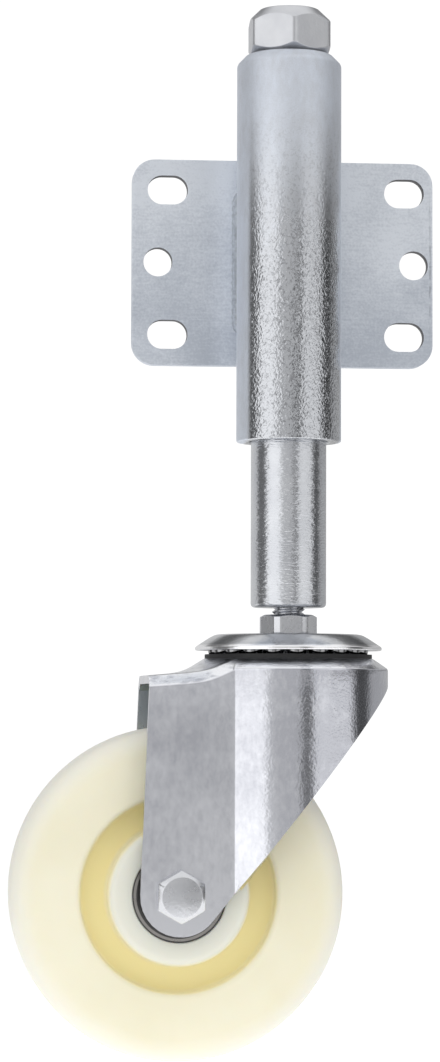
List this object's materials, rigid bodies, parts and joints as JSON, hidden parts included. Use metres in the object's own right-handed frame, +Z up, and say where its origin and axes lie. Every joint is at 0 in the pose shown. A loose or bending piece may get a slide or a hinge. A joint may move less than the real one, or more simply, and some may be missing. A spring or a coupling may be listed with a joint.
{
  "type": "spring-loaded gate wheel",
  "caption": "Swivel caster with a nylon wheel on a sprung rod that slides in a tube welded to a drilled plate, to carry the free end of a gate over uneven ground.",
  "frame": {"origin": "centre of the plate's back face, which lies against the gate", "axes": "+Z up along the tube, +Y out of the plate's back face towards the gate, +X along the plate's width"},
  "size_m": [0.1315, 0.0633, 0.3195],
  "materials": {
    "zinc_plate": "matte zinc plating",
    "zinc_tube": "grainy zinc plating",
    "bright_zinc": "bright zinc plating",
    "spring_steel": "oiled spring steel",
    "bearing_steel": "ground and polished",
    "dark_steel": "dull dark steel",
    "black_rubber": "soft black rubber",
    "cream_nylon": "satin moulded nylon, cream with a yellower recess"
  },
  "bodies": {
    "housing": {"mounting_plate": "zinc_plate", "guide_tube": "zinc_tube", "weld_beads": "zinc_plate", "tube_plug": "zinc_tube", "spring": "spring_steel"},
    "rod": {"slide_rod": "bright_zinc", "top_nut": "bright_zinc", "jam_nut": "bright_zinc", "king_pin": "bright_zinc", "top_race": "bright_zinc", "lower_race": "dark_steel"},
    "caster_fork": {"fork": "bright_zinc", "dust_seal": "black_rubber", "upper_balls": "bearing_steel", "lower_balls": "bearing_steel", "axle_bolt": "bright_zinc", "axle_nut": "bright_zinc", "axle_sleeve": "dark_steel", "near_inner_race": "bearing_steel", "far_inner_race": "bearing_steel"},
    "road_wheel": {"wheel": "cream_nylon", "near_outer_race": "bearing_steel", "far_outer_race": "bearing_steel", "near_bearing_balls": "bearing_steel", "far_bearing_balls": "bearing_steel", "near_ball_cage": "bearing_steel", "far_ball_cage": "bearing_steel", "near_bearing_shields": "dark_steel", "far_bearing_shields": "dark_steel"}
  },
  "joints": [
    {"name": "rod_slide", "type": "slide", "parent": "housing", "child": "rod", "axis": [0, 0, 1], "range_m": [0, 0.04], "stiffness_N_per_m": 14000, "springref_m": -0.008, "deforming": ["spring"]},
    {"name": "fork_swivel", "type": "hinge", "parent": "rod", "child": "caster_fork", "pos_m": [0, -0.02, -0.12], "axis": [0, 0, 1], "continuous": true},
    {"name": "wheel_spin", "type": "hinge", "parent": "caster_fork", "child": "road_wheel", "pos_m": [-0.0345, -0.02, -0.1935], "axis": [0, 1, 0], "continuous": true}
  ]
}
